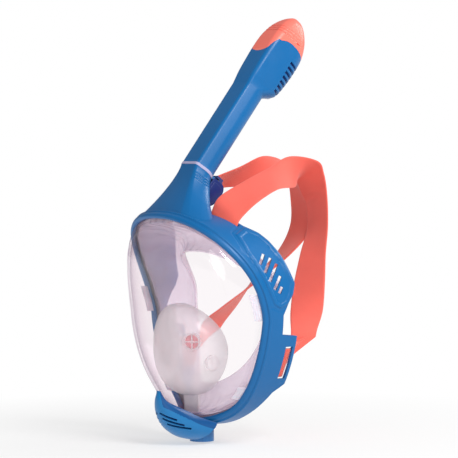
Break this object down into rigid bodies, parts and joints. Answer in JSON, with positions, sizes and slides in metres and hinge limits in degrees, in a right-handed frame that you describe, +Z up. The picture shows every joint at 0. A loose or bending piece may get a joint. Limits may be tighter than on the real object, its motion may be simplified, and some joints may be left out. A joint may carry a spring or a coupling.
{
  "type": "snorkel mask",
  "caption": "Full-face snorkel mask with a clear wrap-round lens, moulded frame, lean-back dry-top snorkel with a latch, silicone skirt and nose cup, and an elastic webbing harness.",
  "frame": {"origin": "centre of the face seal's rear plane, midway between the wearer's cheeks", "axes": "+Z up the upright face, the wearer looks along -Y, +X is the wearer's left"},
  "size_m": [0.2044, 0.197, 0.4223],
  "materials": {
    "blue_shell": "satin moulded, soft gloss",
    "light_blue_shell": "satin moulded",
    "clear_lens": "clear polycarbonate, faintly pink",
    "navy_plastic": "fine matt",
    "skirt_silicone": "translucent silicone",
    "cup_silicone": "translucent silicone",
    "flap_silicone": "thin silicone",
    "steel": "bright",
    "gasket_rubber": "matt",
    "white_plastic": "matt",
    "coral_plastic": "satin moulded",
    "coral_webbing": "woven elastic webbing"
  },
  "bodies": {
    "mask": {"frame": "blue_shell", "lens": "clear_lens", "retainer_ring": "navy_plastic", "face_skirt": "skirt_silicone", "nose_cup": "cup_silicone", "inhale_seat_left": "cup_silicone", "inhale_seat_right": "cup_silicone", "exhale_seat_left": "cup_silicone", "exhale_seat_right": "cup_silicone", "chin_cover": "light_blue_shell", "purge_seat": "navy_plastic", "drain_cap": "blue_shell", "latch_bracket": "navy_plastic", "latch_pin": "steel", "latch_spring": "steel", "neck_gasket": "gasket_rubber", "strap_left": "coral_webbing", "strap_right": "coral_webbing", "strap_patch": "coral_webbing"},
    "snorkel": {"snorkel_tube": "blue_shell", "tube_divider": "blue_shell", "vent_grille": "navy_plastic", "float_guide": "white_plastic", "float_seat": "white_plastic", "top_cap": "coral_plastic"},
    "float": {"float_body": "white_plastic", "float_seal": "gasket_rubber"},
    "latch": {"latch_lever": "navy_plastic"},
    "inhale_flap_left": {"inhale_flap_left": "flap_silicone"},
    "inhale_flap_right": {"inhale_flap_right": "flap_silicone"},
    "exhale_flap_left": {"exhale_flap_left": "flap_silicone"},
    "exhale_flap_right": {"exhale_flap_right": "flap_silicone"},
    "purge_flap": {"purge_flap": "flap_silicone"}
  },
  "joints": [
    {"name": "snorkel_lift", "type": "slide", "parent": "mask", "child": "snorkel", "axis": [0, 0.6157, 0.788], "range_m": [0, 0.03]},
    {"name": "float_slide", "type": "slide", "parent": "snorkel", "child": "float", "axis": [0, 0.6157, 0.788], "range_m": [0, 0.012]},
    {"name": "latch_open", "type": "hinge", "parent": "mask", "child": "latch", "pos_m": [0, -0.04146, 0.11819], "axis": [-1, 0, 0], "range_deg": [0, 40], "stiffness_Nm_per_rad": 0.02},
    {"name": "inhale_flap_left_open", "type": "slide", "parent": "mask", "child": "inhale_flap_left", "axis": [-0.6561, 0.7547, 0], "range_m": [0, 0.0015], "stiffness_N_per_m": 20},
    {"name": "inhale_flap_right_open", "type": "slide", "parent": "mask", "child": "inhale_flap_right", "axis": [0.6561, 0.7547, 0], "range_m": [0, 0.0015], "stiffness_N_per_m": 20},
    {"name": "exhale_flap_left_open", "type": "slide", "parent": "mask", "child": "exhale_flap_left", "axis": [0.9703, -0.2419, 0], "range_m": [0, 0.0015], "stiffness_N_per_m": 20},
    {"name": "exhale_flap_right_open", "type": "slide", "parent": "mask", "child": "exhale_flap_right", "axis": [-0.9703, -0.2419, 0], "range_m": [0, 0.0015], "stiffness_N_per_m": 20},
    {"name": "purge_flap_open", "type": "slide", "parent": "mask", "child": "purge_flap", "axis": [0, 0, -1], "range_m": [0, 0.0015], "stiffness_N_per_m": 20}
  ]
}
